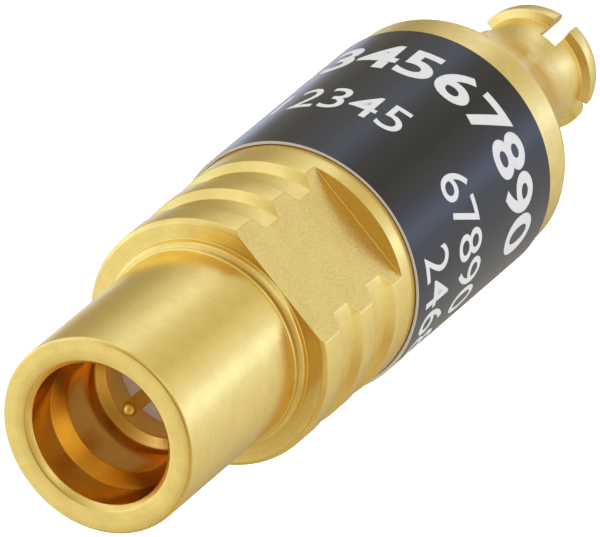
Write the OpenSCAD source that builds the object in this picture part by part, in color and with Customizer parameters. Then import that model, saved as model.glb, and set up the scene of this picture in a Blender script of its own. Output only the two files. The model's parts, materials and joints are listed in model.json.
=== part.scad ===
// Push-on coaxial attenuator, in millimetres.
// A pin plug at the top and a slotted socket jack at the bottom share one axis, Z.
// Between them a thin-film resistor chip is clamped in a split ground carrier.
// The jack's finger tips stand on Z = 0, and the wrench flats face -Y and +Y.

/* [Jack nose] */
// Diameter of the lip that snaps into a mating shroud
lip_d = 3.28; // [3.2:0.02:3.4]
// Length of the lip's straight crest
lip_l = 0.12; // [0.1:0.01:0.5]
// Diameter of the flat ring at the finger tips
tip_d = 2.56; // [2.4:0.02:3]
// Length of the rounding from the tips to the crest
tip_l = 0.66; // [0.3:0.01:0.7]
// Length of the steep shoulder from the neck out to the lip
ramp_l = 0.08; // [0.05:0.01:0.3]
// Diameter of the neck behind the lip
neck_d = 2.84; // [2.7:0.02:3]
// Length of the neck, from the shoulder to where its line meets the cone's
neck_l = 1.55; // [1.5:0.01:2]
// Radius between the neck and the cone
neck_fillet_r = 4; // [2:0.1:4.2]
// Width of each slot between the fingers
finger_slot_w = 0.48; // [0.3:0.02:0.6]
// Depth of each slot, from the finger tips
finger_slot_l = 1.35; // [1:0.05:1.6]
// Number of fingers
finger_n = 4; // [3:1:6]
// Turn of the first slot from +X, in degrees
finger_turn = 15; // [0:5:90]

/* [Body] */
// Outer diameter of both shells
body_d = 6.45; // [6.2:0.05:7.5]
// Half angle of the cone behind the neck, in degrees
cone_angle = 32; // [28:1:35]
// Length of the jack shell's straight part, from the cone's rim to the joint
rear_land_l = 3.73; // [2.8:0.01:6]
// Rounding chamfer on the cone's rim
rim_chamfer = 0.05; // [0.02:0.01:0.15]
// Length of the spigot that joins the two shells
spigot_l = 2; // [1:0.1:3]
// Diameter of that spigot
spigot_d = 5.2; // [4.7:0.05:5.6]
// Radial clearance of pieces pushed into a bore
fit_gap = 0.01; // [0.005:0.005:0.03]

/* [Ribs and flats] */
// Number of turned grooves
groove_n = 2; // [1:1:2]
// Distance from the shell's front face to the first groove
first_land_l = 0.84; // [0.6:0.02:1.2]
// Distance between grooves
groove_pitch = 1.68; // [1.4:0.02:1.9]
// Width of a groove at its mouth
groove_w = 1.08; // [0.8:0.02:1.2]
// Depth of a groove
groove_depth = 0.19; // [0.1:0.01:0.25]
// Angle of a groove's flanks from the axis, in degrees
flank_angle = 40; // [30:1:60]
// Chamfer on the shell's front edge
body_chamfer = 0.1; // [0.05:0.01:0.2]
// Width across the wrench flats
flat_af = 5.5; // [5.3:0.05:6]
// Length of the flats, from the shell's front face down to their square shoulders
flat_l = 4.06; // [3:0.02:4.3]

/* [Plug shroud] */
// Outer diameter of the shroud
tube_d = 5.08; // [4.8:0.02:5.3]
// Length of the shroud, from its face to the stop ring
tube_l = 5.24; // [4.5:0.02:7]
// Chamfer on the shroud's outer edge
tube_chamfer = 0.05; // [0.03:0.01:0.2]
// Diameter of the stop ring behind the shroud
ring_d = 5.44; // [5.42:0.02:5.8]
// Length of the stop ring
ring_l = 0.26; // [0.2:0.01:0.5]
// Chamfer on the stop ring's edge
ring_chamfer = 0.1; // [0.05:0.01:0.12]
// Fillet between the shroud and the stop ring
ring_fillet_r = 0.06; // [0.03:0.01:0.07]
// Diameter of the mouth's chamfer at the face
mouth_d = 3.91; // [3.8:0.02:4.2]
// Length of the mouth's chamfer
mouth_l = 0.14; // [0.05:0.01:0.3]
// Diameter of the guide bore behind the chamfer
guide_d = 3.66; // [3.6:0.02:3.76]
// Diameter of the guide bore where the funnel starts
guide_end_d = 3.59; // [3.4:0.01:3.6]
// Depth of the guide bore
guide_depth = 0.93; // [0.6:0.01:1.2]
// Diameter of the detent bore
detent_d = 3.07; // [2.9:0.01:3.16]
// Length of the funnel down to the detent bore
funnel_l = 0.44; // [0.3:0.01:0.6]
// Length of the detent bore
detent_l = 0.78; // [0.5:0.01:1]
// Diameter of the snap groove behind the detent
snap_d = 3.2; // [3.18:0.01:3.4]
// Length of the ramp into the snap groove
snap_ramp_l = 0.4; // [0.2:0.01:0.6]
// Length of the snap groove
snap_l = 0.26; // [0.15:0.01:0.5]
// Length of the sloped shoulder that stops the mating jack
stop_l = 0.13; // [0.05:0.01:0.3]
// Diameter of the bore below the shoulder
stop_bore_d = 2.66; // [2.5:0.01:2.8]
// Length of that bore, down to the insulator
stop_bore_l = 0.69; // [0.4:0.01:1]

/* [Centre contacts] */
// Diameter of the plug's pin
pin_d = 0.38; // [0.3:0.01:0.45]
// Distance from the shroud's face to the pin's tip
pin_recess = 1.45; // [1:0.01:2.2]
// Diameter of both contacts inside their insulators
core_d = 0.9; // [0.8:0.02:1]
// Diameter of both contacts in air
collar_d = 1.3; // [1.1:0.02:1.4]
// Outer diameter of the socket's tines
tine_d = 0.69; // [0.62:0.01:0.75]
// Length of the tines
tine_l = 1.7; // [1.2:0.05:2.2]
// Diameter of the socket's hole
socket_d = 0.4; // [0.34:0.01:0.46]
// Depth of the socket's hole
socket_depth = 2; // [1.5:0.05:2.6]
// Width of the slots between the tines
tine_slot_w = 0.08; // [0.05:0.01:0.1]
// Distance from the finger tips up to the socket's tip
socket_recess = 0.25; // [0.1:0.01:0.5]
// Distance from each contact's end to the chip
contact_gap = 0.2; // [0.1:0.01:0.4]

/* [Insulators] */
// Diameter of both insulators where they are pressed in
bead_d = 3; // [2.9:0.02:3.2]
// Length of the plug's insulator
plug_bead_l = 1.9; // [1.2:0.1:3]
// Length of the narrow hole at the stepped end of each insulator's thick part
pin_hole_l = 0.15; // [0.05:0.05:0.2]
// Length of the ring that holds the plug's insulator
plug_ring_l = 0.87; // [0.5:0.01:1.5]
// Bore of both holding rings
ring_bore_d = 2.5; // [2.2:0.02:2.6]
// Length of the thick part of the jack's insulator
jack_bead_l = 2.6; // [1.5:0.1:3.2]
// Length of the ring that holds the jack's insulator
jack_ring_l = 0.8; // [0.5:0.05:1.5]
// Distance from the cone's rim down to the jack insulator's seat
seat_drop = 0.45; // [0.1:0.05:1]
// Diameter of the jack insulator's nose
nose_d = 2.3; // [2.1:0.02:2.5]
// Diameter of the nose's tip, which leaves the slotted fingers room to close
nose_tip_d = 2; // [1.8:0.02:2.05]
// Length of that tip
nose_tip_l = 0.75; // [0.5:0.05:1]
// Distance from the finger tips up to the nose's end
nose_recess = 1.15; // [0.8:0.05:1.3]
// Diameter of the hole that leaves the tines room to open
tine_hole_d = 0.84; // [0.78:0.01:0.88]

/* [Chip and carrier] */
// Diameter of the split carrier
carrier_d = 4.4; // [4.1:0.05:4.6]
// Length of the split carrier
carrier_l = 5.6; // [5:0.1:8]
// Width of the channels above and below the chip
channel_w = 1.6; // [1.44:0.02:1.8]
// Height of the channel above the chip and of the one below it
channel_h = 0.9; // [0.75:0.02:1.1]
// Width of the chip
chip_w = 2.2; // [2:0.05:2.6]
// Length of the chip
chip_l = 3; // [2.6:0.1:3.4]
// Thickness of the chip's ceramic plate
chip_t = 0.38; // [0.25:0.01:0.5]
// Thickness of the films and pads on the plate
film_t = 0.03; // [0.02:0.005:0.05]
// Length of each signal pad along the chip
pad_l = 0.7; // [0.6:0.02:0.9]
// Width of each signal pad
pad_w = 0.7; // [0.55:0.02:0.9]
// Width of each flat contact tab
tab_w = 0.5; // [0.3:0.02:0.54]
// Thickness of each contact tab
tab_t = 0.1; // [0.06:0.01:0.15]
// Length of each contact tab
tab_l = 1.6; // [1.2:0.05:1.9]
// Length of each tab that lies on its pad
tab_lap = 0.5; // [0.3:0.02:0.6]
// Depth left free behind each tab in its slot
tab_free_l = 0.1; // [0.05:0.01:0.3]

/* [Spring] */
// Height of the cupped spring washer as fitted
spring_h = 0.4; // [0.3:0.02:0.6]
// Thickness of its steel
spring_t = 0.14; // [0.1:0.01:0.2]
// Outer diameter of the washer
spring_d = 4.2; // [3.8:0.05:4.3]
// Bore of the washer
spring_bore_d = 3; // [2.8:0.05:3.2]

/* [Label] */
// Thickness of the wrapped label
label_t = 0.1; // [0.05:0.01:0.2]
// Length of the label
label_l = 7; // [5.5:0.1:7.4]
// Distance from the cone's rim to the label
label_offset = 1.02; // [0.5:0.01:1.5]

/* [Hidden] */
$fn = 96;

// Overshoot of cutting shapes past the face that they cut
cut = 1;
// Steps in one rounded edge of a turned profile
arc_steps = 8;

// Levels on the axis, from the finger tips up
z_crest = tip_l;
z_ramp = z_crest + lip_l;
z_neck = z_ramp + ramp_l;
z_cone = z_neck + neck_l;
z_rim = z_cone + (body_d - neck_d) / 2 / tan(cone_angle);
z_joint = z_rim + rear_land_l;
z_spigot = z_joint + spigot_l;
z_carrier = z_spigot + spring_h;
z_shelf = z_carrier + carrier_l;
z_plug_ring = z_shelf + plug_ring_l;
z_bead = z_plug_ring + plug_bead_l;
z_stop = z_bead + stop_bore_l;
z_snap = z_stop + stop_l;
z_snap_ramp = z_snap + snap_l;
z_detent = z_snap_ramp + snap_ramp_l;
z_funnel = z_detent + detent_l;
z_guide = z_funnel + funnel_l;
z_face = z_guide + guide_depth;
z_stop_ring = z_face - tube_l;
z_front = z_stop_ring - ring_l;
z_label = z_rim + label_offset;

// Levels of the chip and of what touches it
z_chip = z_carrier + carrier_l / 2;
z_chip_low = z_chip - chip_l / 2;
z_chip_high = z_chip + chip_l / 2;
y_split = -tab_t / 2;
slot_l = tab_l - tab_lap - contact_gap + tab_free_l;

// Levels of the jack's insulator, and of the step on the contact inside it
z_seat = z_rim - seat_drop;
z_jack_ring = z_seat + jack_bead_l;
z_core_step = z_seat + pin_hole_l;

// Radius of the finger tips' rounding, tangent to the crest
tip_drop = (lip_d - tip_d) / 2;
tip_r = (tip_l * tip_l + tip_drop * tip_drop) / (2 * tip_drop);

// Points of an arc about centre c, from angle a to angle b
function arc(c, r, a, b) =
    [for (i = [0 : arc_steps]) let (t = a + (b - a) * i / arc_steps)
        c + r * [cos(t), sin(t)]];

// Points of one groove's section, from its lower edge to its upper edge
function groove(z_top) =
    let (flank = groove_depth / tan(flank_angle), r = body_d / 2)
    [[r, z_top - groove_w], [r - groove_depth, z_top - groove_w + flank],
     [r - groove_depth, z_top - flank], [r, z_top]];

// A round piece or bore of diameter d between two levels
module turned(d, z_low, z_high) {
    translate([0, 0, z_low]) cylinder(d = d, h = z_high - z_low);
}

// Outer form of the plug's shell: shroud, stop ring, ribs and plain sleeve
module plug_form() {
    tube_r = tube_d / 2;
    ring_r = ring_d / 2;
    body_r = body_d / 2;
    ribs = [for (i = [groove_n - 1 : -1 : 0])
        each groove(z_front - first_land_l - i * groove_pitch)];
    rotate_extrude() polygon(concat(
        [[0, z_joint], [body_r, z_joint]],
        ribs,
        [[body_r, z_front - body_chamfer], [body_r - body_chamfer, z_front],
         [ring_r, z_front], [ring_r, z_stop_ring - ring_chamfer],
         [ring_r - ring_chamfer, z_stop_ring]],
        arc([tube_r + ring_fillet_r, z_stop_ring + ring_fillet_r], ring_fillet_r, 270, 180),
        [[tube_r, z_face - tube_chamfer], [tube_r - tube_chamfer, z_face], [0, z_face]]
    ));
}

// Bore of the plug's shell: mouth, detent, insulator pocket, carrier bore and joint
module plug_bore() {
    rotate_extrude() polygon([
        [0, z_face + cut], [mouth_d / 2, z_face + cut],
        [mouth_d / 2, z_face], [guide_d / 2, z_face - mouth_l],
        [guide_end_d / 2, z_guide], [detent_d / 2, z_funnel],
        [detent_d / 2, z_detent], [snap_d / 2, z_snap_ramp],
        [snap_d / 2, z_snap], [stop_bore_d / 2, z_stop],
        [stop_bore_d / 2, z_bead], [bead_d / 2, z_bead],
        [bead_d / 2, z_shelf], [carrier_d / 2, z_shelf],
        [carrier_d / 2, z_carrier], [spigot_d / 2, z_carrier],
        [spigot_d / 2, z_joint - cut], [0, z_joint - cut]
    ]);
}

// What the wrench flats remove: all beyond the flats, down to a square shoulder
module flats_cut() {
    half = flat_af / 2;
    for (side = [-1, 1])
        translate([-body_d, side > 0 ? half : -half - body_d, z_front - flat_l])
            cube([2 * body_d, body_d, flat_l + tube_l + ring_l]);
}

module plug_body() {
    color("#d9bf6c") difference() {
        plug_form();
        plug_bore();
        flats_cut();
    }
}

// The jack's shell: spigot, rear sleeve, cone, neck and lip, split into fingers
module jack_body() {
    body_r = body_d / 2;
    neck_r = neck_d / 2;
    bead_r = bead_d / 2;
    bend = neck_fillet_r * tan(cone_angle / 2);
    color("#d3b866") difference() {
        rotate_extrude() polygon(concat(
            [[nose_d / 2, 0]],
            arc([lip_d / 2 - tip_r, z_crest], tip_r, -asin(tip_l / tip_r), 0),
            [[lip_d / 2, z_ramp], [neck_r, z_neck]],
            arc([neck_r + neck_fillet_r, z_cone - bend], neck_fillet_r, 180, 180 - cone_angle),
            [[body_r - rim_chamfer, z_rim - rim_chamfer / tan(cone_angle)],
             [body_r, z_rim + rim_chamfer], [body_r, z_joint],
             [spigot_d / 2 - fit_gap, z_joint], [spigot_d / 2 - fit_gap, z_spigot],
             [bead_r, z_spigot], [bead_r, z_seat], [nose_d / 2, z_seat]]
        ));
        for (i = [0 : finger_n - 1])
            rotate(finger_turn + i * 360 / finger_n)
                translate([0, -finger_slot_w / 2, -cut])
                    cube([lip_d, finger_slot_w, finger_slot_l + cut]);
    }
}

module label() {
    inner_d = body_d + 2 * fit_gap;
    color("#3e3e42") difference() {
        turned(inner_d + 2 * label_t, z_label, z_label + label_l);
        turned(inner_d, z_label - cut, z_label + label_l + cut);
    }
}

// The slot across a contact's end that grips a contact tab
module tab_slot(z_low, z_high) {
    translate([-collar_d, -tab_t / 2, z_low]) cube([2 * collar_d, tab_t, z_high - z_low]);
}

module plug_pin() {
    z_tip = z_face - pin_recess;
    z_end = z_chip_high + contact_gap;
    color("#e2c873") difference() {
        rotate_extrude() polygon(concat([
            [0, z_end], [collar_d / 2, z_end],
            [collar_d / 2, z_plug_ring], [core_d / 2, z_plug_ring],
            [core_d / 2, z_bead - pin_hole_l], [pin_d / 2, z_bead - pin_hole_l]
        ], arc([0, z_tip - pin_d / 2], pin_d / 2, 0, 90)));
        tab_slot(z_end - cut, z_end + slot_l);
    }
}

module plug_insulator() {
    color("#e8dcd8") rotate_extrude() polygon([
        [pin_d / 2 + fit_gap, z_bead], [bead_d / 2 - fit_gap, z_bead],
        [bead_d / 2 - fit_gap, z_plug_ring], [core_d / 2 + fit_gap, z_plug_ring],
        [core_d / 2 + fit_gap, z_bead - pin_hole_l], [pin_d / 2 + fit_gap, z_bead - pin_hole_l]
    ]);
}

// A plain ring pressed in behind an insulator
module insulator_ring(z_low, z_high) {
    color("#cdb060") difference() {
        turned(bead_d - 2 * fit_gap, z_low, z_high);
        turned(ring_bore_d, z_low - cut, z_high + cut);
    }
}

module plug_insulator_ring() {
    insulator_ring(z_shelf, z_plug_ring);
}

module jack_insulator_ring() {
    insulator_ring(z_jack_ring, z_jack_ring + jack_ring_l);
}

module jack_socket() {
    z_end = z_chip_low - contact_gap;
    color("#e2c873") difference() {
        rotate_extrude() polygon([
            [0, socket_recess], [tine_d / 2, socket_recess],
            [tine_d / 2, z_core_step], [core_d / 2, z_core_step],
            [core_d / 2, z_jack_ring], [collar_d / 2, z_jack_ring],
            [collar_d / 2, z_end], [0, z_end]
        ]);
        turned(socket_d, socket_recess - cut, socket_recess + socket_depth);
        translate([-tine_d, -tine_slot_w / 2, socket_recess - cut])
            cube([2 * tine_d, tine_slot_w, tine_l + cut]);
        tab_slot(z_end - slot_l, z_end + cut);
    }
}

module jack_insulator() {
    z_tip = nose_recess + nose_tip_l;
    z_flare = socket_recess + tine_l;
    color("#e8dcd8") rotate_extrude() polygon([
        [tine_hole_d / 2, nose_recess], [nose_tip_d / 2, nose_recess],
        [nose_tip_d / 2, z_tip], [nose_d / 2 - fit_gap, z_tip],
        [nose_d / 2 - fit_gap, z_seat], [bead_d / 2 - fit_gap, z_seat],
        [bead_d / 2 - fit_gap, z_jack_ring], [core_d / 2 + fit_gap, z_jack_ring],
        [core_d / 2 + fit_gap, z_core_step], [tine_d / 2 + fit_gap, z_core_step],
        [tine_d / 2 + fit_gap, z_flare], [tine_hole_d / 2, z_flare]
    ]);
}

// One half of the carrier: side is 1 above the chip and -1 below it
module carrier_half(side) {
    r = carrier_d / 2 - fit_gap;
    intersection() {
        turned(2 * r, z_carrier, z_shelf);
        translate([-r, side > 0 ? y_split : y_split - 2 * r, z_carrier])
            cube([2 * r, 2 * r, carrier_l]);
    }
}

module upper_carrier() {
    color("#c9ab5a") difference() {
        carrier_half(1);
        translate([-channel_w / 2, y_split - cut, z_carrier - cut])
            cube([channel_w, channel_h - y_split + cut, carrier_l + 2 * cut]);
    }
}

module lower_carrier() {
    color("#c9ab5a") difference() {
        carrier_half(-1);
        translate([-channel_w / 2, -channel_h, z_carrier - cut])
            cube([channel_w, channel_h + cut, carrier_l + 2 * cut]);
        translate([-chip_w / 2, y_split - film_t - chip_t, z_chip_low])
            cube([chip_w, film_t + chip_t + cut, chip_l]);
    }
}

module chip_plate() {
    color("#f0ede4") translate([-chip_w / 2, y_split - film_t - chip_t, z_chip_low])
        cube([chip_w, chip_t, chip_l]);
}

// A thin film on the plate, w wide about x, between two levels
module film(x, w, z_low, z_high) {
    translate([x - w / 2, y_split - film_t, z_low]) cube([w, film_t, z_high - z_low]);
}

module resistor_film() {
    color("#2f2f38") film(0, channel_w, z_chip_low + pad_l, z_chip_high - pad_l);
}

module input_pad() {
    color("#d8c27a") film(0, pad_w, z_chip_high - pad_l, z_chip_high);
}

module output_pad() {
    color("#d8c27a") film(0, pad_w, z_chip_low, z_chip_low + pad_l);
}

// One ground pad along the plate's edge: side is 1 at +X and -1 at -X
module ground_pad(side) {
    pad = (chip_w - channel_w) / 2;
    color("#d8c27a") film(side * (channel_w + pad) / 2, pad, z_chip_low, z_chip_high);
}

module left_ground_pad() {
    ground_pad(-1);
}

module right_ground_pad() {
    ground_pad(1);
}

// A flat tab that lies on a pad and reaches into a contact's slot
module contact_tab(z_low) {
    color("#d8c27a") translate([-tab_w / 2, -tab_t / 2, z_low]) cube([tab_w, tab_t, tab_l]);
}

module front_contact_tab() {
    contact_tab(z_chip_high - tab_lap);
}

module rear_contact_tab() {
    contact_tab(z_chip_low + tab_lap - tab_l);
}

// A cupped washer: its bore's edge bears on the carrier, its rim on the spigot
module spring_washer() {
    color("#b9bcc0") rotate_extrude() polygon([
        [spring_bore_d / 2, z_carrier - spring_t], [spring_d / 2, z_spigot],
        [spring_d / 2, z_spigot + spring_t], [spring_bore_d / 2, z_carrier]
    ]);
}

plug_body();
jack_body();
label();
plug_pin();
plug_insulator();
plug_insulator_ring();
jack_socket();
jack_insulator();
jack_insulator_ring();
upper_carrier();
lower_carrier();
spring_washer();
chip_plate();
resistor_film();
input_pad();
output_pad();
left_ground_pad();
right_ground_pad();
front_contact_tab();
rear_contact_tab();
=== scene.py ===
"""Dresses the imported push-on coaxial attenuator and sets its studio."""

import json
import math

import bmesh
import bpy
from bpy.props import FloatProperty, IntProperty, PointerProperty, StringProperty
from mathutils import Matrix, Vector


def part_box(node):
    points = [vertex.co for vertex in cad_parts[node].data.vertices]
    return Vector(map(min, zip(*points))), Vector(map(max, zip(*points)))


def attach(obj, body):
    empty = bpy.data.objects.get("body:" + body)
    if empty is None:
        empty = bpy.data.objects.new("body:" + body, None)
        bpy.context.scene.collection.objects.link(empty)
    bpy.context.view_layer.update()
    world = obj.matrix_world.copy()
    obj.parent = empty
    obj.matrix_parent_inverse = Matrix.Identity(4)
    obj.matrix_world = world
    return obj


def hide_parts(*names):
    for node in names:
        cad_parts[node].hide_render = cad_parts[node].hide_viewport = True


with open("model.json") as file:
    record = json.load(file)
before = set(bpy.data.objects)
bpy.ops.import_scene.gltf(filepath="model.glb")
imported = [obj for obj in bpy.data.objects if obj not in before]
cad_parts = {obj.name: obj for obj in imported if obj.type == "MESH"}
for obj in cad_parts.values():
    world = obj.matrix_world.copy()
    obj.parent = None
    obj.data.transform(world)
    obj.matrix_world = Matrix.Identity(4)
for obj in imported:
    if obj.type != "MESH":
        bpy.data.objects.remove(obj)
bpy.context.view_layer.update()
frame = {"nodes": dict(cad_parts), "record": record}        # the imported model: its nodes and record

bl_info = {
    "name": "Coaxial attenuator looks",
    "version": (1, 0, 0),
    "blender": (4, 5, 0),
    "location": "View3D > Sidebar > Attenuator",
    "description": "Turned, plated and printed surfaces for a push-on coaxial attenuator",
    "category": "Object",
}

MM = 0.001
BODY = "root"
# Points nearer each other than this are one point
TINY = 1e-7
# Sine of the least turn that makes a point of an outline a corner
STRAIGHT = 0.002
# Edges that turn by more than this stay crisp, and smaller turns are shaded away
CRISP_ANGLE = math.radians(32)
# How far the large faces outweigh the small ones where the shading is blended
LARGE_FACE_WEIGHT = 80
# Slivers of print are welded where their points are nearer than this
WELD = 1e-8
# Room that a number takes along its row, and how much its strokes are fattened as a share
# of the font's size
LARGE_PRINT = (1.07 * MM, 0.022)
SMALL_PRINT = (0.78 * MM, 0.002)


def mount(name):
    """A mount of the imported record, by its name."""
    return next(m for m in frame["record"]["mounts"] if m["name"] == name)


def top(node):
    """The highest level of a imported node, in metres."""
    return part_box(node)[1].z


def bottom(node):
    """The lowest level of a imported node, in metres."""
    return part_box(node)[0].z


def from_axis(point):
    """The distance of a point from the connector's axis, in metres."""
    return math.hypot(point.x, point.y)


def shoulder_level():
    """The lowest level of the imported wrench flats, in metres."""
    reach = abs(mount("front_wrench_flat")["pos_m"][1])
    verts = frame["nodes"]["plug_body"].data.vertices
    return min(v.co.z for v in verts if abs(abs(v.co.y) - reach) < 10 * TINY)


def bore_radius():
    """The radius of the plug's bore just behind the chamfer of its mouth, in metres."""
    face = top("plug_body")
    rings = [(vert.co.z, from_axis(vert.co)) for vert in frame["nodes"]["plug_body"].data.vertices]
    mouth = min(radius for level, radius in rings if level > face - TINY)
    return max(ring for ring in rings if ring[1] < mouth - 10 * TINY)[1]


class TurnedSizes(bpy.types.PropertyGroup):
    """How finely the turned pieces are made."""
    segments: IntProperty(name="Segments", description="Faces round a turned piece",
                          default=256, min=24, max=720)
    edge_break: FloatProperty(name="Edge break", description="Radius of a turned edge",
                              default=0.03 * MM, min=0.0, unit="LENGTH", precision=5)
    support: FloatProperty(name="Support", description="Room that a cut leaves beside its edge",
                           default=0.05 * MM, min=0.0, unit="LENGTH", precision=5)


class FlatSizes(bpy.types.PropertyGroup):
    """The two wrench flats of the front shell."""
    reach: FloatProperty(name="Reach", description="Distance from the axis to a flat",
                         default=abs(mount("front_wrench_flat")["pos_m"][1]), unit="LENGTH")
    shoulder: FloatProperty(name="Shoulder", description="Level of the flats' square shoulders",
                            default=shoulder_level(), unit="LENGTH", precision=5)


class SlotSizes(bpy.types.PropertyGroup):
    """The slots that split the jack's lip and its socket."""
    fingers: IntProperty(name="Fingers", description="Fingers of the jack's lip", default=4, min=2)
    finger_turn: FloatProperty(name="Turn", description="Turn of the first finger slot",
                               default=math.radians(15), subtype="ANGLE")
    finger_slot: FloatProperty(name="Finger slot", description="Width of a finger slot",
                               default=0.48 * MM, unit="LENGTH", precision=4)
    finger_depth: FloatProperty(name="Finger depth", description="Depth of a finger slot",
                                default=1.35 * MM, unit="LENGTH", precision=4)
    tines: IntProperty(name="Tines", description="Tines of the socket", default=2, min=2)
    tine_slot: FloatProperty(name="Tine slot", description="Width of a tine slot",
                             default=0.08 * MM, unit="LENGTH", precision=5)
    tine_depth: FloatProperty(name="Tine depth", description="Depth of a tine slot",
                              default=1.7 * MM, unit="LENGTH", precision=4)
    tab_depth: FloatProperty(name="Tab depth", description="Depth of the slot round a contact tab",
                             default=1.0 * MM, unit="LENGTH", precision=4)


class PrintSizes(bpy.types.PropertyGroup):
    """The plain numbers printed round the label."""
    ink: FloatProperty(name="Ink", description="Thickness of the ink", default=0.006 * MM,
                       unit="LENGTH", precision=6)
    large: FloatProperty(name="Large numbers", description="Height of the large numbers",
                         default=1.34 * MM, unit="LENGTH", precision=4)
    small: FloatProperty(name="Small numbers", description="Height of the small numbers",
                         default=1.16 * MM, unit="LENGTH", precision=4)
    first_row: FloatProperty(name="First row", description="Level of the large numbers' feet",
                             default=8.58 * MM, unit="LENGTH", precision=4)
    row_pitch: FloatProperty(name="Row pitch", description="Distance between the rows' feet",
                             default=2.57 * MM, unit="LENGTH", precision=4)
    last_pitch: FloatProperty(name="Last pitch", description="Distance to the last row's feet",
                              default=1.72 * MM, unit="LENGTH", precision=4)


class Finishes(bpy.types.PropertyGroup):
    """Colours of the finishes, as sRGB hex values."""
    gold: StringProperty(name="Gold", description="Hard gold plate", default="#FBDD7F")
    milled: StringProperty(name="Milled", description="Hard gold plate on a milled face",
                           default="#FCE08A")
    coarse: StringProperty(name="Coarse", description="Hard gold plate on a coarse turning",
                           default="#FCE08A")
    # The bore's gold is a darker, redder copy of the plate that paints the bore's shade and its gold-on-gold
    # reflection
    bore: StringProperty(name="Bore", description="Thin gold plate in a bore", default="#FACE6C")
    label: StringProperty(name="Label", description="Printed label film", default="#15151B")
    label_core: StringProperty(name="Label core", description="Cut edge of the label film",
                               default="#D9D2CA")
    ink: StringProperty(name="Ink", description="White print", default="#F1F1F0")
    insulator: StringProperty(name="Insulator", description="Machined fluoropolymer",
                              default="#F8F1EC")
    ceramic: StringProperty(name="Ceramic", description="Alumina plate", default="#EFEBE0")
    film: StringProperty(name="Film", description="Sputtered resistor film", default="#34343C")
    steel: StringProperty(name="Steel", description="Spring steel", default="#B9BCC0")


class Studio(bpy.types.PropertyGroup):
    """The camera, the floor and the even part of the light."""
    lens: FloatProperty(name="Lens", description="Focal length in millimetres", default=840)
    floor: FloatProperty(name="Floor", description="Half width of the floor", default=0.6,
                         unit="LENGTH")
    floor_grey: FloatProperty(name="Floor grey", description="How much light the floor returns",
                              default=0.9, min=0.0, max=1.0)
    floor_glow: FloatProperty(name="Floor glow", description="Glow that lifts the floor to white",
                              default=0.78, min=0.0)
    fill: FloatProperty(name="Fill", description="Even light on surfaces that don't shine",
                        default=0.95, min=0.0)


def settings():
    """The add-on's own settings in this scene."""
    return bpy.context.scene.attenuator


def linear(hex_colour):
    """An sRGB hex value as linear red, green, blue and a full alpha."""
    values = [int(hex_colour[i:i + 2], 16) / 255 for i in (1, 3, 5)]
    return [v / 12.92 if v <= 0.04045 else ((v + 0.055) / 1.055) ** 2.4 for v in values] + [1.0]


def dimmed(colour, shade):
    """A linear colour darkened by a share, with a full alpha."""
    return [c * (1 - shade) for c in colour[:3]] + [1.0]


def add_node(tree, kind, inputs=None, **values):
    """Adds a node, sets its values, and fills or links its inputs."""
    node = tree.nodes.new(kind)
    for name, value in values.items():
        setattr(node, name, value)
    for socket, value in (inputs or {}).items():
        if isinstance(value, bpy.types.NodeSocket):
            tree.links.new(value, node.inputs[socket])
        else:
            node.inputs[socket].default_value = value
    return node


def new_material(name):
    """An empty node material and its tree."""
    material = bpy.data.materials.new(name)
    material.use_nodes = True
    material.node_tree.nodes.clear()
    return material, material.node_tree


def finish_material(tree, shader):
    """Links the shader to the material's output."""
    add_node(tree, "ShaderNodeOutputMaterial", {"Surface": shader.outputs[0]})


def grain(tree, size, detail=3.0):
    """Noise whose features are about size across, in object space, as a socket."""
    place = add_node(tree, "ShaderNodeTexCoord").outputs["Object"]
    scaled = add_node(tree, "ShaderNodeVectorMath", {0: place, 1: (1 / size,) * 3},
                      operation="MULTIPLY")
    noise = add_node(tree, "ShaderNodeTexNoise",
                     {"Vector": scaled.outputs[0], "Scale": 1.0, "Detail": detail})
    return noise.outputs["Fac"]


def turning_marks(tree, pitch):
    """Rings about the axis, as a lathe tool leaves them, as a socket."""
    place = add_node(tree, "ShaderNodeTexCoord").outputs["Object"]
    apart = add_node(tree, "ShaderNodeSeparateXYZ", {0: place})
    flat = add_node(tree, "ShaderNodeCombineXYZ",
                    {0: apart.outputs[0], 1: apart.outputs[1]})
    radius = add_node(tree, "ShaderNodeVectorMath", {0: flat.outputs[0]}, operation="LENGTH")
    ring = add_node(tree, "ShaderNodeCombineXYZ",
                    {0: radius.outputs["Value"], 1: apart.outputs[2]})
    scaled = add_node(tree, "ShaderNodeVectorMath", {0: ring.outputs[0], "Scale": 1 / pitch},
                      operation="SCALE")
    noise = add_node(tree, "ShaderNodeTexNoise",
                     {"Vector": scaled.outputs[0], "Scale": 1.0, "Detail": 1.0})
    return noise.outputs["Fac"]


def mapped(tree, value, low, high):
    """A 0 to 1 socket mapped to between low and high."""
    node = add_node(tree, "ShaderNodeMapRange", {"Value": value, "To Min": low, "To Max": high})
    return node.outputs[0]


def bump(tree, height, depth, edge=0.0):
    """A normal bumped by a 0 to 1 height, depth metres high, on edges rounded to edge metres."""
    inputs = {"Height": height, "Strength": 1.0, "Distance": depth}
    if edge:
        rounded = add_node(tree, "ShaderNodeBevel", {"Radius": edge}, samples=6)
        inputs["Normal"] = rounded.outputs[0]
    return add_node(tree, "ShaderNodeBump", inputs)


# Size of the gold plate's own tooth, and of the patches where it is rougher and its painted shade is deeper
PLATE_TOOTH = 0.07 * MM
PLATE_PATCH = 0.5 * MM
# How much of the height is taken off before it darkens the plate as painted shade
PLATE_LEVEL = 0.3
# What the patches take from the plate's roughness and add to it
PLATE_GLOSS = (-0.04, 0.05)
# What the plate's colour turns to where light grazes it
PLATE_GRAZED = (1.0, 0.96, 0.84, 1.0)
# Radius that the tumbled and plated edges catch the light with
PLATED_EDGE = 0.045 * MM


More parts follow.
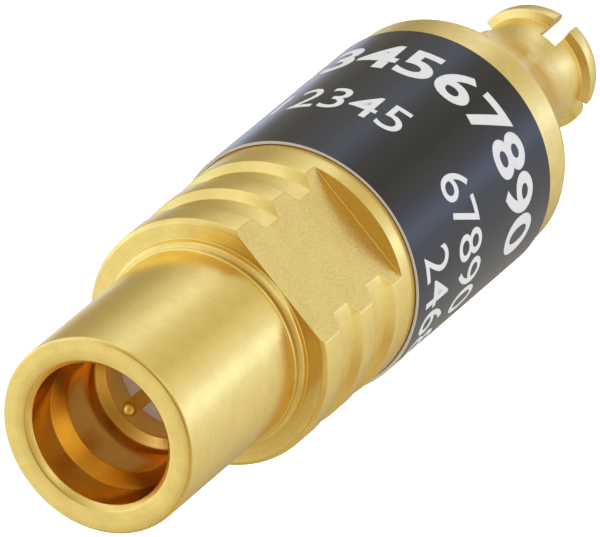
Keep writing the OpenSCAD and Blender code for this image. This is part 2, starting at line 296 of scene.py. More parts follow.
def gold_plate(name, colour, roughness, pitch, depth, shade):
    """Hard gold plate on machined copper alloy.

    The plate is a few thousandths of a millimetre thick and keeps the tool's rings, pitch
    apart and depth deep, and has its own fine tooth, so light spreads a little on it. Its
    colour is darkened by shade as painted shade, in patches along the rings and tooth, so
    that they show as lines. With no pitch there is only the tooth.
    """
    material, tree = new_material(name)
    tooth = grain(tree, PLATE_TOOTH, detail=1.0)
    mottled = grain(tree, PLATE_PATCH, detail=5.0)
    marks = turning_marks(tree, pitch) if pitch else tooth
    height = add_node(tree, "ShaderNodeMath", {0: marks, 1: tooth}, operation="ADD").outputs[0]
    painted_shade_mask = add_node(tree, "ShaderNodeMath", {0: height, 1: mottled, 2: -PLATE_LEVEL},
                      operation="MULTIPLY_ADD", use_clamp=True).outputs[0]
    base = linear(colour)
    # Painted shade: the plate's colour is darkened by shade where the mask is high
    tint = add_node(tree, "ShaderNodeMix", {0: painted_shade_mask, 6: base, 7: dimmed(base, shade)},
                    data_type="RGBA")
    shader = add_node(tree, "ShaderNodeBsdfPrincipled", {
        "Base Color": tint.outputs[2],
        "Metallic": 1.0,
        "Roughness": mapped(tree, mottled, *(roughness + part for part in PLATE_GLOSS)),
        "Specular Tint": PLATE_GRAZED,
        "Normal": bump(tree, height, depth, PLATED_EDGE).outputs[0],
    })
    finish_material(tree, shader)
    return material


# What the grain takes from a plain finish's roughness and adds to it
GRAIN_GLOSS = (-0.05, 0.05)


def plain_finish(name, colour, roughness, size, depth, shade=0.06, metallic=0.0,
                 shine=(1, 1, 1, 1)):
    """A finish of one colour with grain of the given size in colour, gloss and height."""
    material, tree = new_material(name)
    fac = grain(tree, size)
    base = linear(colour)
    tint = add_node(tree, "ShaderNodeMix", {0: fac, 6: dimmed(base, shade), 7: base},
                    data_type="RGBA")
    shader = add_node(tree, "ShaderNodeBsdfPrincipled", {
        "Base Color": tint.outputs[2],
        "Metallic": metallic,
        "Roughness": mapped(tree, fac, *(roughness + part for part in GRAIN_GLOSS)),
        "Specular Tint": shine,
        "Normal": bump(tree, fac, depth).outputs[0],
    })
    finish_material(tree, shader)
    return material


def make_finishes():
    """All the materials of the object, once, by name."""
    colours = settings().finishes
    return {
        # Finely turned: smooth rings, so highlights run along the axis
        "turned gold": gold_plate("Gold plate, turned", colours.gold, 0.26, 0.05 * MM,
                                  0.001 * MM, 0.2),
        # Turned with a coarser feed: rings that show as fine lines, in the bump and in painted shade
        "coarse gold": gold_plate("Gold plate, coarsely turned", colours.coarse, 0.3,
                                  0.07 * MM, 0.002 * MM, 0.3),
        # Bored: smoother, with its colour made redder and darker as painted shade and painted gold-on-gold reflection
        # in the bore's depth
        "bore gold with painted shade": gold_plate("Gold plate, bore with painted shade", colours.bore, 0.2, 0.06 * MM,
                                 0.001 * MM, 0.25),
        # Milled across: satin, with a dusting of fine grain, in the bump and in painted shade
        "milled gold": gold_plate("Gold plate, milled", colours.milled, 0.32, 0, 0.003 * MM,
                                  0.22),
        # Contacts are turned fine and plated thick, so they are smooth and yellow
        "contact gold": gold_plate("Gold plate, contact", colours.gold, 0.34, 0.04 * MM,
                                   0.0005 * MM, 0.1),
        # Satin over-laminated film: a dark ground with a soft, broad sheen, a little warm
        "label": plain_finish("Label film", colours.label, 0.19, 0.25 * MM, 0.001 * MM, 0.12,
                              shine=(1, 0.93, 0.68, 1)),
        # The knife leaves the film's pale core bare and fuzzy
        "label core": plain_finish("Label core", colours.label_core, 0.6, 0.05 * MM, 0.003 * MM),
        # Screen ink lies in a thin, even, slightly chalky coat
        "ink": plain_finish("Screen ink", colours.ink, 0.5, 0.04 * MM, 0.001 * MM, 0.04),
        # Machined fluoropolymer is waxy, with faint cutting marks
        "insulator": plain_finish("Fluoropolymer", colours.insulator, 0.42, 0.12 * MM, 0.002 * MM),
        # Fired alumina is chalky white with a fine tooth
        "ceramic": plain_finish("Alumina", colours.ceramic, 0.5, 0.03 * MM, 0.001 * MM),
        # A sputtered film is thin and smooth, and shines like slate
        "film": plain_finish("Resistor film", colours.film, 0.25, 0.05 * MM, 0.0005 * MM, 0.2),
        # Rolled spring steel has a fine, even gloss
        "steel": plain_finish("Spring steel", colours.steel, 0.25, 0.05 * MM, 0.0008 * MM,
                              metallic=1.0),
    }


finish_store = {}


def finishes():
    """The materials, made by the first operator that needs one, by their short names."""
    if not finish_store:
        finish_store.update(make_finishes())
    return finish_store


def section(node, azimuth, slot=0.0):
    """The outline of a packed turned node, cut by a half plane through the axis.

    Gives chains of (radius, level) points. A chain that starts on the axis is open, and
    the others are closed. Slot is the half width of a slot along the axis, which is
    filled up.
    """
    out = Vector((math.cos(azimuth), math.sin(azimuth), 0))
    mesh = bmesh.new()
    mesh.from_mesh(frame["nodes"][node].data)
    bmesh.ops.remove_doubles(mesh, verts=mesh.verts, dist=TINY)
    rings = sorted({(from_axis(v.co), v.co.z) for v in mesh.verts})
    bmesh.ops.bisect_plane(mesh, geom=mesh.verts[:] + mesh.edges[:] + mesh.faces[:],
                           plane_co=(0, 0, 0), plane_no=(-out.y, out.x, 0),
                           clear_inner=True, clear_outer=True)
    links = {}
    for edge in mesh.edges:
        low, high = sorted((vert.co.dot(out), vert.co.z) for vert in edge.verts)
        if high[0] < TINY:
            continue
        if low[0] < TINY:
            low = (0.0, low[1] + (high[1] - low[1]) * low[0] / (low[0] - high[0]))
        ends = []
        for end in (low, high):
            near = min(rings, key=lambda ring: math.dist(ring, end)) if end[0] else end
            radius = 0.0 if abs(near[0] - slot) < 10 * TINY else near[0]
            ends.append((round(radius, 8), round(near[1], 8)))
        if ends[0] != ends[1]:
            links.setdefault(ends[0], set()).add(ends[1])
            links.setdefault(ends[1], set()).add(ends[0])
    mesh.free()
    return chains(links)


def chains(links):
    """Walks linked points into chains, those that start on the axis first."""
    left = {p: set(q) for p, q in links.items()}
    found = []
    starts = sorted((p for p in left if len(left[p]) == 1), key=lambda p: (p[0], -p[1]))
    for start in starts + sorted(left):
        if not left.get(start):
            continue
        chain = [start]
        while left[chain[-1]]:
            step = min(left[chain[-1]])
            left[chain[-1]].discard(step)
            left[step].discard(chain[-1])
            chain.append(step)
        found.append(chain)
    return found


def straightened(chain):
    """A chain without the points on a straight line, and whether it is closed."""
    closed = chain[0] == chain[-1]
    ring = chain[:-1] if closed else chain
    kept = []
    for i, point in enumerate(ring):
        if not closed and i in (0, len(ring) - 1):
            kept.append(Vector(point))
            continue
        a = Vector(point) - Vector(ring[i - 1])
        b = Vector(ring[(i + 1) % len(ring)]) - Vector(point)
        if min(a.length, b.length) > 0 and abs(a.normalized().cross(b.normalized())) > STRAIGHT:
            kept.append(Vector(point))
    return kept, closed


# Shares of a side that a rounding may take: of a packed curve's sides, and of others
CURVE_SHARE = 0.48
SIDE_SHARE = 0.4


def eased(chain, radius, steps=3, corner=math.radians(18)):
    """A chain whose sharp corners are rounded to about the given radius.

    The slight corners that a packed curve is made of are rounded right to the middles of
    their sides, which gives the smooth curve back.
    """
    ring, closed = straightened(chain)
    done = []
    for i, point in enumerate(ring):
        if point.x < TINY or (not closed and i in (0, len(ring) - 1)):
            done.append(point)
            continue
        before, after = ring[i - 1] - point, ring[(i + 1) % len(ring)] - point
        turn = math.pi - before.angle(after)
        if turn < corner:
            reach = CURVE_SHARE * min(before.length, after.length)
        else:
            reach = min(radius * math.tan(turn / 2), SIDE_SHARE * before.length,
                        SIDE_SHARE * after.length)
        start, end = point + before.normalized() * reach, point + after.normalized() * reach
        for s in range(steps + 1):
            t = s / steps
            done.append(start * (1 - t) ** 2 + point * 2 * t * (1 - t) + end * t ** 2)
    return done, closed


def supported(ring, closed, levels):
    """A chain with extra points where its sides cross the given levels.

    A cut beside such a level leaves the faces beyond it as they were.
    """
    done = []
    for a, b in zip(ring, ring[1:] + (ring[:1] if closed else [])):
        crossed = [(z - a.y) / (b.y - a.y) for z in levels if (a.y - z) * (b.y - z) < 0]
        done += [a] + [a.lerp(b, t) for t in sorted(crossed)]
    return done if closed else done + [ring[-1]]


def spun(name, node_chains, segments, radius, levels=()):
    """A turned mesh made by spinning eased chains about the axis."""
    mesh = bmesh.new()
    for chain in node_chains:
        ring, closed = eased(chain, radius)
        ring = supported(ring, closed, levels)
        rows = []
        for point in ring:
            if point.x < TINY:
                rows.append([mesh.verts.new((0, 0, point.y))] * segments)
                continue
            rows.append([mesh.verts.new((point.x * math.cos(a), point.x * math.sin(a), point.y))
                         for a in (2 * math.pi * k / segments for k in range(segments))])
        pairs = list(zip(rows, rows[1:])) + ([(rows[-1], rows[0])] if closed else [])
        for low, high in pairs:
            for k in range(segments):
                corner = [low[k], low[(k + 1) % segments], high[(k + 1) % segments], high[k]]
                corner = list(dict.fromkeys(corner))
                if len(corner) > 2:
                    mesh.faces.new(corner)
    bmesh.ops.recalc_face_normals(mesh, faces=mesh.faces)
    data = bpy.data.meshes.new(name)
    mesh.to_mesh(data)
    mesh.free()
    return data


def linked(name, data):
    """A new object of the scene that holds the given data."""
    piece = bpy.data.objects.new(name, data)
    bpy.context.scene.collection.objects.link(piece)
    return piece


def applied(piece):
    """Turns a piece with modifiers into a plain mesh."""
    view = bpy.context.evaluated_depsgraph_get()
    data = bpy.data.meshes.new_from_object(piece.evaluated_get(view))
    piece.modifiers.clear()
    old, piece.data = piece.data, data
    data.name = piece.name
    bpy.data.meshes.remove(old)
    return piece


def smoothed(piece):
    """Shades a piece smooth by its large faces, with its milled edges left crisp."""
    for face in piece.data.polygons:
        face.use_smooth = True
    piece.data.set_sharp_from_angle(angle=CRISP_ANGLE)
    weight = piece.modifiers.new("Weighted normals", "WEIGHTED_NORMAL")
    weight.weight = LARGE_FACE_WEIGHT
    weight.keep_sharp = True
    return applied(piece)


def dressed(piece, slot, *nodes):
    """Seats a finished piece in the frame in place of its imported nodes."""
    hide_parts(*nodes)
    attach(piece, BODY)


def socket_name(tree, label):
    """The identifier of a geometry tree's input, by its label."""
    return next(s.identifier for s in tree.interface.items_tree
                if s.item_type == "SOCKET" and s.in_out == "INPUT" and s.name == label)


def geometry_tree(name, inputs):
    """A geometry node tree with a mesh in and out and the named inputs."""
    tree = bpy.data.node_groups.new(name, "GeometryNodeTree")
    tree.interface.new_socket("Geometry", in_out="INPUT", socket_type="NodeSocketGeometry")
    tree.interface.new_socket("Geometry", in_out="OUTPUT", socket_type="NodeSocketGeometry")
    for label, kind in inputs:
        tree.interface.new_socket(label, in_out="INPUT", socket_type="NodeSocket" + kind)
    return tree


def run_tree(piece, tree, values):
    """Puts a geometry tree on a piece with its inputs set."""
    modifier = piece.modifiers.new(tree.name, "NODES")
    modifier.node_group = tree
    for label, value in values.items():
        modifier[socket_name(tree, label)] = value


def slotting_tree():
    """Cuts equal slots, spaced round the axis, into the lower end of a turned piece."""
    tree = geometry_tree("Slots round the axis", [
        ("Count", "Int"), ("Turn", "Float"), ("Width", "Float"), ("Depth", "Float"),
        ("Reach", "Float"), ("Level", "Float"), ("Material", "Material"),
    ])
    given = add_node(tree, "NodeGroupInput").outputs
    height = add_node(tree, "ShaderNodeMath", {0: given["Depth"], 1: 2.0}, operation="MULTIPLY")
    size = add_node(tree, "ShaderNodeCombineXYZ",
                    {0: given["Reach"], 1: given["Width"], 2: height.outputs[0]})
    block = add_node(tree, "GeometryNodeMeshCube", {"Size": size.outputs[0]})
    half = add_node(tree, "ShaderNodeMath", {0: given["Reach"], 1: 0.5}, operation="MULTIPLY")
    offset = add_node(tree, "ShaderNodeCombineXYZ", {0: half.outputs[0], 2: given["Level"]})
    moved = add_node(tree, "GeometryNodeTransform",
                     {"Geometry": block.outputs[0], "Translation": offset.outputs[0]})
    points = add_node(tree, "GeometryNodePoints", {"Count": given["Count"]})
    index = add_node(tree, "GeometryNodeInputIndex")
    share = add_node(tree, "ShaderNodeMath", {0: 2 * math.pi, 1: given["Count"]},
                     operation="DIVIDE")
    step = add_node(tree, "ShaderNodeMath",
                    {0: index.outputs[0], 1: share.outputs[0], 2: given["Turn"]},
                    operation="MULTIPLY_ADD")
    angle = add_node(tree, "ShaderNodeCombineXYZ", {2: step.outputs[0]})
    copies = add_node(tree, "GeometryNodeInstanceOnPoints", {
        "Points": points.outputs[0], "Instance": moved.outputs[0], "Rotation": angle.outputs[0]})
    real = add_node(tree, "GeometryNodeRealizeInstances", {0: copies.outputs[0]})
    cut = add_node(tree, "GeometryNodeMeshBoolean",
                   {"Mesh 1": given["Geometry"], "Mesh 2": real.outputs[0]},
                   operation="DIFFERENCE", solver="EXACT")
    whole = add_node(tree, "GeometryNodeRealizeInstances", {0: cut.outputs[0]})
    painted = add_node(tree, "GeometryNodeSetMaterial",
                       {"Geometry": whole.outputs[0], "Material": given["Material"]})
    add_node(tree, "NodeGroupOutput", {0: painted.outputs[0]})
    return tree


def wrapping_tree():
    """Wraps flat print round a cylinder and gives the ink its thickness."""
    tree = geometry_tree("Print round a cylinder", [
        ("Radius", "Float"), ("Level", "Float"), ("Turn", "Float"), ("Ink", "Float"),
        ("Material", "Material"),
    ])
    given = add_node(tree, "NodeGroupInput").outputs
    fine = add_node(tree, "GeometryNodeSubdivideMesh", {"Mesh": given["Geometry"], "Level": 3})
    place = add_node(tree, "ShaderNodeSeparateXYZ",
                     {0: add_node(tree, "GeometryNodeInputPosition").outputs[0]})
    along = add_node(tree, "ShaderNodeMath", {0: place.outputs[0], 1: given["Radius"]},
                     operation="DIVIDE")
    angle = add_node(tree, "ShaderNodeMath", {0: given["Turn"], 1: along.outputs[0]},
                     operation="SUBTRACT")
    spots = []
    for wave in ("COSINE", "SINE"):
        turned = add_node(tree, "ShaderNodeMath", {0: angle.outputs[0]}, operation=wave)
        spots.append(add_node(tree, "ShaderNodeMath", {0: turned.outputs[0], 1: given["Radius"]},
                              operation="MULTIPLY"))
    level = add_node(tree, "ShaderNodeMath", {0: given["Level"], 1: place.outputs[1]},
                     operation="SUBTRACT")
    spot = add_node(tree, "ShaderNodeCombineXYZ",
                    {0: spots[0].outputs[0], 1: spots[1].outputs[0], 2: level.outputs[0]})
    bent = add_node(tree, "GeometryNodeSetPosition",
                    {"Geometry": fine.outputs[0], "Position": spot.outputs[0]})
    raised = add_node(tree, "GeometryNodeExtrudeMesh",
                      {"Mesh": bent.outputs[0], "Offset Scale": given["Ink"], "Individual": False})
    under = add_node(tree, "GeometryNodeFlipFaces", {0: bent.outputs[0]})
    both = add_node(tree, "GeometryNodeJoinGeometry")
    for part in (raised, under):
        tree.links.new(part.outputs[0], both.inputs[0])
    sealed = add_node(tree, "GeometryNodeMergeByDistance",
                      {"Geometry": both.outputs[0], "Distance": WELD})
    real = add_node(tree, "GeometryNodeRealizeInstances", {0: sealed.outputs[0]})
    painted = add_node(tree, "GeometryNodeSetMaterial",
                       {"Geometry": real.outputs[0], "Material": given["Material"]})
    add_node(tree, "NodeGroupOutput", {0: painted.outputs[0]})
    return tree


def turned_piece(node, finish, azimuth=math.radians(60), slot=0.0, levels=()):
    """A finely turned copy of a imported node, not yet smoothed."""
    sizes = settings().turned
    data = spun(node + "_turned", section(node, azimuth, slot), sizes.segments,
                sizes.edge_break, levels)
    data.materials.append(finishes()[finish])
    return linked(node + "_turned", data)


def cut_flats(piece, sizes, face, outer):
    """Mills both wrench flats down to their shoulders."""
    mesh = bmesh.new()
    for side in (-1, 1):
        block = bmesh.ops.create_cube(mesh, size=1.0)["verts"]
        size = Vector((4 * outer, outer, face - sizes.shoulder + MM))
        centre = Vector((0, side * (sizes.reach + outer / 2), (face + sizes.shoulder + MM) / 2))
        bmesh.ops.transform(mesh, verts=block,
                            matrix=Matrix.Translation(centre) @ Matrix.Diagonal((*size, 1)))
    data = bpy.data.meshes.new("flats_cutter")
    mesh.to_mesh(data)
    mesh.free()
    data.materials.append(finishes()["milled gold"])
    cutter = linked("flats_cutter", data)
    modifier = piece.modifiers.new("Flats", "BOOLEAN")
    modifier.operation = "DIFFERENCE"
    modifier.solver = "EXACT"
    modifier.material_mode = "TRANSFER"
    modifier.object = cutter
    applied(piece)
    bpy.data.objects.remove(cutter)


class ATTENUATOR_OT_plug_shell(bpy.types.Operator):
    """Make the front shell: shroud, stop ring, ribs, flats and sleeve."""
    bl_idname = "attenuator.plug_shell"
    bl_label = "Plug shell"

    def execute(self, context):
        room = settings().turned.support
        shoulder = settings().flats.shoulder
        piece = turned_piece("plug_body", "turned gold", 0.0,
                             levels=(shoulder - room, shoulder + room))
        piece.data.materials.append(finishes()["bore gold with painted shade"])
        bore = bore_radius()
        # Faces inside the bore take the darker, redder gold of painted shade and painted reflection
        for face in piece.data.polygons:
            if from_axis(face.center) < bore:
                face.material_index = 1
        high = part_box("plug_body")[1]
        cut_flats(piece, settings().flats, high.z, high.x)
        dressed(smoothed(piece), "gold_plated_shell", "plug_body")
        return {"FINISHED"}


class ATTENUATOR_OT_jack_shell(bpy.types.Operator):
    """Make the rear shell: sleeve, cone, neck and the lip with its fingers."""
    bl_idname = "attenuator.jack_shell"
    bl_label = "Jack shell"

    def execute(self, context):
        sizes = settings().slots
        room = settings().turned.support
        bed = bottom("jack_body") + sizes.finger_depth
        piece = turned_piece("jack_body", "coarse gold", levels=(bed - room, bed + room))
        run_tree(piece, slotting_tree(), {
            "Count": sizes.fingers, "Turn": sizes.finger_turn, "Width": sizes.finger_slot,
            "Depth": sizes.finger_depth, "Reach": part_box("jack_body")[1].x,
            "Level": bottom("jack_body"), "Material": finishes()["coarse gold"]})
        dressed(smoothed(applied(piece)), "gold_plated_shell", "jack_body")
        return {"FINISHED"}


class ATTENUATOR_OT_contacts(bpy.types.Operator):
    """Make the plug's pin and the jack's slotted socket."""
    bl_idname = "attenuator.contacts"
    bl_label = "Centre contacts"

    def execute(self, context):
        side = math.radians(90)
        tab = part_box("front_contact_tab")
        sizes = settings().slots
        for node, level, cuts in (
            ("plug_pin", bottom("plug_pin"), ()),
            ("jack_socket", top("jack_socket"), ((sizes.tine_slot, sizes.tine_depth),)),
        ):
            piece = turned_piece(node, "contact gold", side, tab[1].y)
            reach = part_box(node)[1].x * 2
            gold = finishes()["contact gold"]
            for width, depth in cuts:
                run_tree(piece, slotting_tree(), {
                    "Count": sizes.tines, "Turn": 0.0, "Width": width, "Depth": depth,
                    "Reach": reach, "Level": bottom(node), "Material": gold})
            run_tree(piece, slotting_tree(), {
                "Count": 2, "Turn": 0.0, "Width": 2 * tab[1].y, "Depth": sizes.tab_depth,
                "Reach": reach, "Level": level, "Material": gold})
            dressed(smoothed(applied(piece)), "gold_plated_contact", node)
        return {"FINISHED"}


class ATTENUATOR_OT_insulators(bpy.types.Operator):
    """Make both insulators and the rings that hold them."""
    bl_idname = "attenuator.insulators"
    bl_label = "Insulators"

    def execute(self, context):
        for node, finish, slot in (
            ("plug_insulator", "insulator", "fluoropolymer"),
            ("jack_insulator", "insulator", "fluoropolymer"),
            ("plug_insulator_ring", "turned gold", "gold_plated_shell"),
            ("jack_insulator_ring", "turned gold", "gold_plated_shell"),
        ):
            dressed(smoothed(turned_piece(node, finish)), slot, node)
        return {"FINISHED"}


# Thickness of the dark film on the label's pale core
FILM_THICKNESS = 0.01 * MM


def film_radius():
    """The radius of the label's film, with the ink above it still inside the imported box."""
    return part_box("label")[1].y - settings().print.ink


class ATTENUATOR_OT_label(bpy.types.Operator):
    """Make the wrapped label with its pale cut edges."""
    bl_idname = "attenuator.label"
    bl_label = "Label"

    def execute(self, context):
        piece = turned_piece("label", "label")
        piece.data.materials.append(finishes()["label core"])
        film = film_radius()
        for face in piece.data.polygons:
            if from_axis(face.center) < film - FILM_THICKNESS:
                face.material_index = 1
        for vert in piece.data.vertices:
            if from_axis(vert.co) > film:
                vert.co.xy *= film / from_axis(vert.co)
        dressed(smoothed(piece), "label_film", "label")
        return {"FINISHED"}


def flat_row(name, words, height, pitch, weight):
    """A flat mesh of one row of numbers, height high, from the origin to +X.

    Pitch is the room that each number takes along the row, and weight fattens its strokes.
    """
    curve = bpy.data.curves.new(name, "FONT")
    curve.body = words
    curve.resolution_u = 6
    curve.offset = weight
    row = linked(name, curve)
    bpy.context.view_layer.update()
    view = bpy.context.evaluated_depsgraph_get()
    data = bpy.data.meshes.new_from_object(row.evaluated_get(view))
    bpy.data.objects.remove(row)
    bpy.data.curves.remove(curve)
    tall = max(v.co.y for v in data.vertices)
    wide = max(v.co.x for v in data.vertices)
    data.transform(Matrix.Diagonal((pitch * len(words) / wide, height / tall, 1, 1)))
    return data


class ATTENUATOR_OT_print(bpy.types.Operator):
    """Print plain numbers round the label, with their heads towards the jack."""
    bl_idname = "attenuator.print"
    bl_label = "Print"

    def execute(self, context):
        sizes = settings().print
        feet = [sizes.first_row, sizes.first_row + sizes.row_pitch,
                sizes.first_row + sizes.row_pitch + sizes.last_pitch]
        large = (sizes.large, *LARGE_PRINT)
        small = (sizes.small, *SMALL_PRINT)
        # Each row starts at its turn, in degrees from +X, and runs clockwise from above
        rows = (
            ("print_large", "1234567890", *large, feet[0], 29),
            ("print_middle", "12345", *small, feet[1], -4),
            ("print_middle_second", "67890", *small, feet[1], -97),
            ("print_small", "2468", *small, feet[2], -120),
        )
        tree = wrapping_tree()
        for name, words, height, pitch, weight, level, turn in rows:
            piece = linked(name, flat_row(name, words, height, pitch, weight))
            run_tree(piece, tree, {
                "Radius": film_radius(), "Level": level, "Turn": math.radians(turn),
                "Ink": sizes.ink, "Material": finishes()["ink"]})
            applied(piece)
            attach(piece, BODY)
        return {"FINISHED"}


class ATTENUATOR_OT_inner_pieces(bpy.types.Operator):
    """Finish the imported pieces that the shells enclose."""
    bl_idname = "attenuator.inner_pieces"
    bl_label = "Inner pieces"

    def execute(self, context):
        gold = ("upper_carrier", "lower_carrier", "input_pad", "output_pad",
                "left_ground_pad", "right_ground_pad", "front_contact_tab", "rear_contact_tab")
        kinds = {name: "milled gold" for name in gold}
        kinds.update(spring_washer="steel", chip_plate="ceramic", resistor_film="film")
        for node, finish in kinds.items():
            data = frame["nodes"][node].data
            data.materials.clear()
            data.materials.append(finishes()[finish])
        return {"FINISHED"}


class ATTENUATOR_OT_stage(bpy.types.Operator):
    """Set the pale floor, the soft studio light and the camera."""
    bl_idname = "attenuator.stage"
    bl_label = "Stage"

    def execute(self, context):
        studio = settings().studio
        place_camera(studio)
        place_floor(studio)
        light_world(studio)
        context.scene.view_settings.view_transform = "Standard"
        return {"FINISHED"}


# The camera's own axes when it looks at the plug's face: right, up and backwards
CAMERA_RIGHT = Vector((-0.620443, -0.630693, -0.466131))
CAMERA_UP = Vector((0.783879, -0.480363, -0.393430))
CAMERA_BACK = Vector((0.024222, -0.609491, 0.792423))
CAMERA_PLACE = Vector((8.137, -206.306, 258.037)) * MM


def place_camera(studio):
    """The photograph's camera: far off, above the plug and rolled to the left."""
    data = bpy.data.cameras.new("Camera")
    data.lens = studio.lens
    data.clip_start = 0.01
    data.clip_end = 10
    camera = linked("Camera", data)
    turn = Matrix((CAMERA_RIGHT, CAMERA_UP, CAMERA_BACK)).transposed().to_4x4()
    face = Vector((0, 0, top("plug_body")))
    camera.matrix_world = Matrix.Translation(face + CAMERA_PLACE) @ turn
    bpy.context.scene.camera = camera


def place_floor(studio):
    """A plain white floor that fades into the background."""
    mesh = bmesh.new()
    bmesh.ops.create_grid(mesh, x_segments=1, y_segments=1, size=studio.floor)
    data = bpy.data.meshes.new("floor")
    mesh.to_mesh(data)
    mesh.free()
    floor = linked("floor", data)
    floor.visible_glossy = False
    material, tree = new_material("Studio floor")
    matte = add_node(tree, "ShaderNodeBsdfDiffuse", {"Color": (studio.floor_grey,) * 3 + (1,)})
    glow = add_node(tree, "ShaderNodeEmission",
                    {"Color": (1, 1, 1, 1), "Strength": studio.floor_glow})
    both = add_node(tree, "ShaderNodeAddShader", {0: matte.outputs[0], 1: glow.outputs[0]})
    seen = add_node(tree, "ShaderNodeLightPath").outputs["Is Camera Ray"]
    mixed = add_node(tree, "ShaderNodeMixShader",
                     {0: seen, 1: matte.outputs[0], 2: both.outputs[0]})
    finish_material(tree, mixed)
    data.materials.append(material)


# The studio round the object, as rings of (degrees from +X, strength, warmth), from low to
# high: upright soft boxes with dimmer room between them, a bright belt with boxes of its
# own, a ring with a small lamp near the camera, and over it the dark, warm side of the room
# and a lit far side
STUDIO_LOW = (
    (-180, 0.76, -0.3), (-148, 0.88, -0.5), (-128, 1.25, -0.8), (-110, 0.88, -0.7),
    (-92, 0.78), (-80, 0.64), (-56, 0.73, -0.2), (-33, 1.0, -0.6), (-10, 0.69, -0.5),
    (16, 0.44, -0.4), (44, 0.42, -0.6), (66, 0.93, -0.5), (88, 0.73, -0.4), (110, 0.4, -0.4),
    (134, 0.53, -0.3), (160, 0.68, -0.3), (180, 0.76, -0.3),
)
STUDIO_BELT = (
    (-180, 0.55, 0.8), (-160, 0.75), (-130, 1.1), (-108, 0.8), (-92, 1.0), (-75, 0.75),
    (-50, 0.7), (-20, 1.03, -0.3), (10, 0.86, -0.4), (40, 1.18, -0.5), (65, 0.9), (88, 0.7),
    (110, 0.46), (140, 0.58, 0.2), (160, 0.61, 0.5), (180, 0.55, 0.8),
)
STUDIO_MIDDLE = (
    (-180, 0.6, 0.7), (-125, 0.56, 0.8), (-108, 0.75, 0.5), (-92, 1.1), (-76, 0.85),
    (-50, 0.6, 0.5), (-20, 0.8), (15, 1.1), (45, 1.05), (70, 0.84), (92, 0.84), (130, 0.6),
    (180, 0.55, 0.8),
)
STUDIO_HIGH = (
    (-180, 0.6, 0.5), (-150, 0.46, 1), (-92, 0.36, 1), (-50, 0.48, 1), (-20, 0.66, 0.7),
    (5, 1.05), (25, 1.2), (45, 1.05), (70, 0.95), (88, 1.0), (96, 0.86), (105, 0.43, 1),
    (118, 0.4, 1), (135, 0.5, 0.9), (160, 0.6, 0.5), (180, 0.6, 0.5),
)
STUDIO_TOP = (0.3, 1)
# The heights between which each ring fades into the next, as the sine of the elevation
BELT_RISE = (-0.55, -0.1)
MIDDLE_RISE = (0.28, 0.42)
HIGH_RISE = (0.55, 0.66)
TOP_RISE = (0.84, 0.95)
# The strength at which a lamp is white, and what a stronger one adds to green and blue
WHITE_LAMP = 0.8
LAMP_COOLNESS = (0.25, 0.9)
# What the room's walls take from green and blue, and what the sky adds to them
WALL_WARMTH = (0.2, 0.4)
SKY_COOLNESS = (0.08, 0.45)


def lamp_colour(strength, warmth=0.0):
    """Light of the given strength: bright lamps are daylight, the dim room is warm.

    Warmth, 0 to 1, adds the warm colour of the room's own walls. Below 0 it adds sky.
    """
    shift = WALL_WARMTH if warmth > 0 else SKY_COOLNESS
    green, blue = (strength * (1 + cool * (strength - WHITE_LAMP)) * (1 - part * warmth)
                   for cool, part in zip(LAMP_COOLNESS, shift))
    return strength, green, blue, 1


def studio_ring(tree, share, strengths):
    """The studio's light by direction round the object, as a socket."""
    ring = add_node(tree, "ShaderNodeValToRGB", {"Fac": share})
    ring.color_ramp.interpolation = "EASE"
    stops = ring.color_ramp.elements
    while len(stops) > 1:
        stops.remove(stops[-1])
    for i, (angle, *light) in enumerate(strengths):
        stop = stops[0] if i == 0 else stops.new((angle + 180) / 360)
        stop.position = (angle + 180) / 360
        stop.color = lamp_colour(*light)
    return ring.outputs[0]


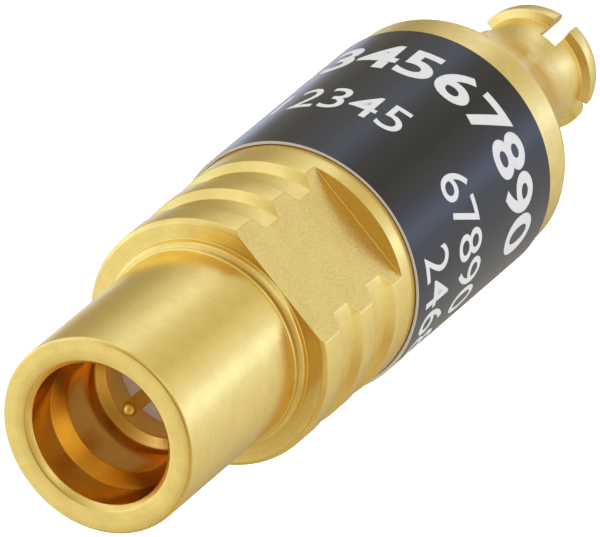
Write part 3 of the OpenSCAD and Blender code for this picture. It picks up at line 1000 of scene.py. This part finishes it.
def light_world(studio):
    """White to the camera, a studio of soft boxes to shiny surfaces, even light to the rest."""
    world = bpy.data.worlds.new("Studio")
    bpy.context.scene.world = world
    world.use_nodes = True
    tree = world.node_tree
    tree.nodes.clear()
    way = add_node(tree, "ShaderNodeSeparateXYZ",
                   {0: add_node(tree, "ShaderNodeTexCoord").outputs["Generated"]})
    round_axis = add_node(tree, "ShaderNodeMath", {0: way.outputs[1], 1: way.outputs[0]},
                          operation="ARCTAN2")
    share = add_node(tree, "ShaderNodeMapRange", {
        "Value": round_axis.outputs[0], "From Min": -math.pi, "From Max": math.pi})
    room = studio_ring(tree, share.outputs[0], STUDIO_LOW)
    for (low, high), light in (
        (BELT_RISE, studio_ring(tree, share.outputs[0], STUDIO_BELT)),
        (MIDDLE_RISE, studio_ring(tree, share.outputs[0], STUDIO_MIDDLE)),
        (HIGH_RISE, studio_ring(tree, share.outputs[0], STUDIO_HIGH)),
        (TOP_RISE, lamp_colour(*STUDIO_TOP)),
    ):
        above = add_node(tree, "ShaderNodeMapRange", {
            "Value": way.outputs[2], "From Min": low, "From Max": high},
            interpolation_type="SMOOTHSTEP")
        room = add_node(tree, "ShaderNodeMix", {0: above.outputs[0], 6: room, 7: light},
                        data_type="RGBA").outputs[2]
    path = add_node(tree, "ShaderNodeLightPath").outputs
    shiny = add_node(tree, "ShaderNodeMath",
                     {0: path["Is Glossy Ray"], 1: path["Is Transmission Ray"]},
                     operation="MAXIMUM")
    lit = add_node(tree, "ShaderNodeMix", {
        0: shiny.outputs[0], 6: (studio.fill,) * 3 + (1,), 7: room}, data_type="RGBA")
    seen = add_node(tree, "ShaderNodeMix", {
        0: path["Is Camera Ray"], 6: lit.outputs[2], 7: (1, 1, 1, 1)}, data_type="RGBA")
    light = add_node(tree, "ShaderNodeBackground", {"Color": seen.outputs[2], "Strength": 1.0})
    add_node(tree, "ShaderNodeOutputWorld", {"Surface": light.outputs[0]})


STEPS = ("stage", "plug_shell", "jack_shell", "contacts", "insulators", "label", "print",
         "inner_pieces")


class ATTENUATOR_PT_pieces(bpy.types.Panel):
    """Lists the steps that dress the attenuator."""
    bl_idname = "ATTENUATOR_PT_pieces"
    bl_label = "Attenuator"
    bl_space_type = "VIEW_3D"
    bl_region_type = "UI"
    bl_category = "Attenuator"

    def draw(self, context):
        for step in STEPS:
            self.layout.operator("attenuator." + step)


class AttenuatorSettings(bpy.types.PropertyGroup):
    """All the settings of the add-on."""
    turned: PointerProperty(type=TurnedSizes)
    flats: PointerProperty(type=FlatSizes)
    slots: PointerProperty(type=SlotSizes)
    print: PointerProperty(type=PrintSizes)
    finishes: PointerProperty(type=Finishes)
    studio: PointerProperty(type=Studio)


CLASSES = (
    TurnedSizes, FlatSizes, SlotSizes, PrintSizes, Finishes, Studio, AttenuatorSettings,
    ATTENUATOR_OT_plug_shell, ATTENUATOR_OT_jack_shell, ATTENUATOR_OT_contacts,
    ATTENUATOR_OT_insulators, ATTENUATOR_OT_label, ATTENUATOR_OT_print,
    ATTENUATOR_OT_inner_pieces, ATTENUATOR_OT_stage, ATTENUATOR_PT_pieces,
)


def register():
    for cls in CLASSES:
        bpy.utils.register_class(cls)
    bpy.types.Scene.attenuator = PointerProperty(type=AttenuatorSettings)


def unregister():
    del bpy.types.Scene.attenuator
    for cls in reversed(CLASSES):
        bpy.utils.unregister_class(cls)


def main():
    register()
    for step in STEPS:
        getattr(bpy.ops.attenuator, step)()


if __name__ == "__main__":
    main()
